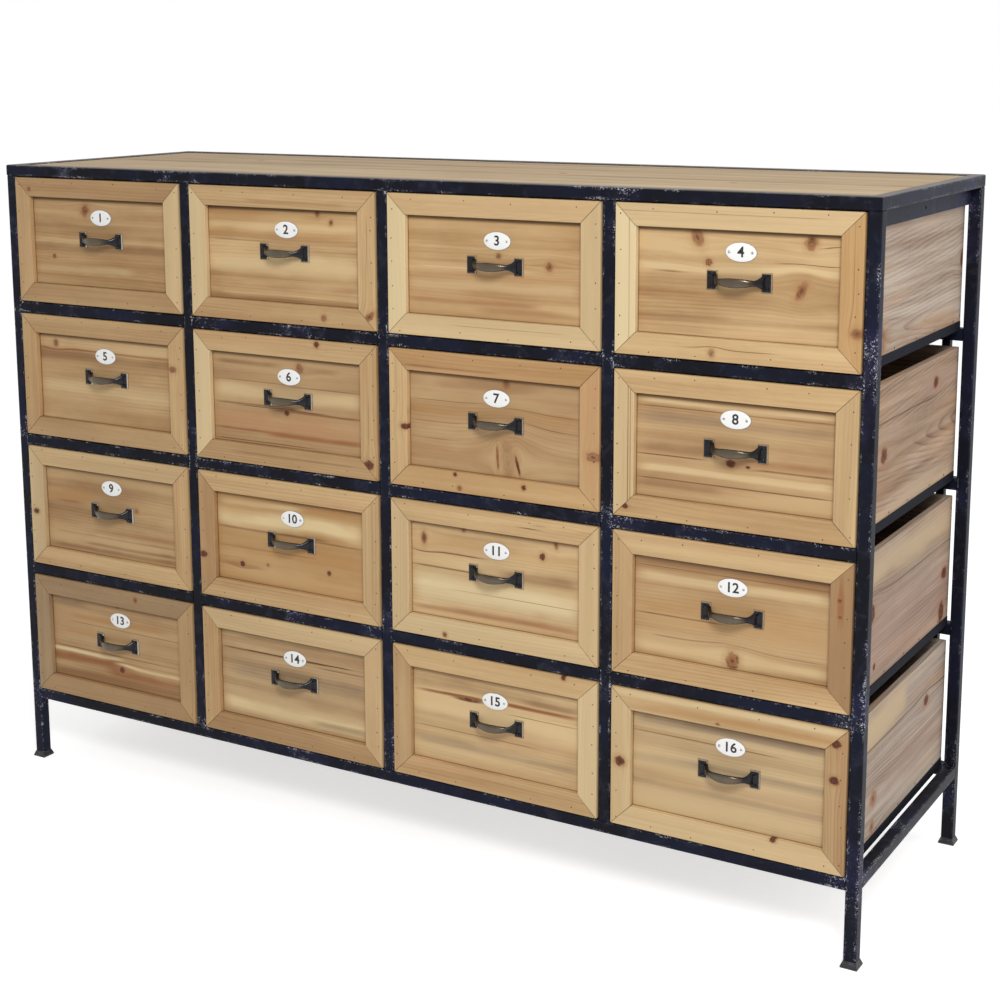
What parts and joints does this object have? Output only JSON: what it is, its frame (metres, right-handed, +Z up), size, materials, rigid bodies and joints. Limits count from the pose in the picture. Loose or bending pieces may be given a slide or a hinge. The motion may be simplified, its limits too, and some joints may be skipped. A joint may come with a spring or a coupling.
{
  "type": "chest of drawers",
  "caption": "Low wide chest with a grid of drawers in a welded frame of square steel tube, wooden fronts with mitred mouldings and cast pulls, and a wooden top.",
  "frame": {"origin": "on the floor, in the middle of the outline, under the foot caps", "axes": "+X to the right along the chest, seen from its front; +Y from the front to the back; +Z up"},
  "size_m": [1.22, 0.397, 0.842],
  "materials": {
    "frame_paint": "satin",
    "foot_plastic": "matte",
    "galvanised_sheet": "satin",
    "top_wood": "oiled",
    "front_wood": "oiled",
    "box_wood": "raw",
    "pull_iron": "satin"
  },
  "bodies": {
    "frame": {"foot_caps": "foot_plastic", "top_ring": "frame_paint", "legs": "frame_paint", "front_uprights": "frame_paint", "back_uprights": "frame_paint", "front_rails": "frame_paint", "back_rails": "frame_paint", "side_rails": "frame_paint", "top_bearers": "frame_paint", "top_panel": "top_wood", "drawer_runners": "galvanised_sheet", "drawer_stops": "frame_paint"},
    "drawer_a": {"drawer_a_front": "front_wood", "drawer_a_box": "box_wood", "drawer_a_pull": "pull_iron"},
    "drawer_b": {"drawer_b_front": "front_wood", "drawer_b_box": "box_wood", "drawer_b_pull": "pull_iron"},
    "drawer_c": {"drawer_c_front": "front_wood", "drawer_c_box": "box_wood", "drawer_c_pull": "pull_iron"},
    "drawer_d": {"drawer_d_front": "front_wood", "drawer_d_box": "box_wood", "drawer_d_pull": "pull_iron"},
    "drawer_e": {"drawer_e_front": "front_wood", "drawer_e_box": "box_wood", "drawer_e_pull": "pull_iron"},
    "drawer_f": {"drawer_f_front": "front_wood", "drawer_f_box": "box_wood", "drawer_f_pull": "pull_iron"},
    "drawer_g": {"drawer_g_front": "front_wood", "drawer_g_box": "box_wood", "drawer_g_pull": "pull_iron"},
    "drawer_h": {"drawer_h_front": "front_wood", "drawer_h_box": "box_wood", "drawer_h_pull": "pull_iron"},
    "drawer_i": {"drawer_i_front": "front_wood", "drawer_i_box": "box_wood", "drawer_i_pull": "pull_iron"},
    "drawer_j": {"drawer_j_front": "front_wood", "drawer_j_box": "box_wood", "drawer_j_pull": "pull_iron"},
    "drawer_k": {"drawer_k_front": "front_wood", "drawer_k_box": "box_wood", "drawer_k_pull": "pull_iron"},
    "drawer_l": {"drawer_l_front": "front_wood", "drawer_l_box": "box_wood", "drawer_l_pull": "pull_iron"},
    "drawer_m": {"drawer_m_front": "front_wood", "drawer_m_box": "box_wood", "drawer_m_pull": "pull_iron"},
    "drawer_n": {"drawer_n_front": "front_wood", "drawer_n_box": "box_wood", "drawer_n_pull": "pull_iron"},
    "drawer_o": {"drawer_o_front": "front_wood", "drawer_o_box": "box_wood", "drawer_o_pull": "pull_iron"},
    "drawer_p": {"drawer_p_front": "front_wood", "drawer_p_box": "box_wood", "drawer_p_pull": "pull_iron"}
  },
  "joints": [
    {"name": "drawer_a_slide", "type": "slide", "parent": "frame", "child": "drawer_a", "axis": [0, -1, 0], "range_m": [0, 0.28]},
    {"name": "drawer_b_slide", "type": "slide", "parent": "frame", "child": "drawer_b", "axis": [0, -1, 0], "range_m": [0, 0.28]},
    {"name": "drawer_c_slide", "type": "slide", "parent": "frame", "child": "drawer_c", "axis": [0, -1, 0], "range_m": [0, 0.28]},
    {"name": "drawer_d_slide", "type": "slide", "parent": "frame", "child": "drawer_d", "axis": [0, -1, 0], "range_m": [0, 0.28]},
    {"name": "drawer_e_slide", "type": "slide", "parent": "frame", "child": "drawer_e", "axis": [0, -1, 0], "range_m": [0, 0.28]},
    {"name": "drawer_f_slide", "type": "slide", "parent": "frame", "child": "drawer_f", "axis": [0, -1, 0], "range_m": [0, 0.28]},
    {"name": "drawer_g_slide", "type": "slide", "parent": "frame", "child": "drawer_g", "axis": [0, -1, 0], "range_m": [0, 0.28]},
    {"name": "drawer_h_slide", "type": "slide", "parent": "frame", "child": "drawer_h", "axis": [0, -1, 0], "range_m": [0, 0.28]},
    {"name": "drawer_i_slide", "type": "slide", "parent": "frame", "child": "drawer_i", "axis": [0, -1, 0], "range_m": [0, 0.28]},
    {"name": "drawer_j_slide", "type": "slide", "parent": "frame", "child": "drawer_j", "axis": [0, -1, 0], "range_m": [0, 0.28]},
    {"name": "drawer_k_slide", "type": "slide", "parent": "frame", "child": "drawer_k", "axis": [0, -1, 0], "range_m": [0, 0.28]},
    {"name": "drawer_l_slide", "type": "slide", "parent": "frame", "child": "drawer_l", "axis": [0, -1, 0], "range_m": [0, 0.28]},
    {"name": "drawer_m_slide", "type": "slide", "parent": "frame", "child": "drawer_m", "axis": [0, -1, 0], "range_m": [0, 0.28]},
    {"name": "drawer_n_slide", "type": "slide", "parent": "frame", "child": "drawer_n", "axis": [0, -1, 0], "range_m": [0, 0.28]},
    {"name": "drawer_o_slide", "type": "slide", "parent": "frame", "child": "drawer_o", "axis": [0, -1, 0], "range_m": [0, 0.28]},
    {"name": "drawer_p_slide", "type": "slide", "parent": "frame", "child": "drawer_p", "axis": [0, -1, 0], "range_m": [0, 0.28]}
  ]
}
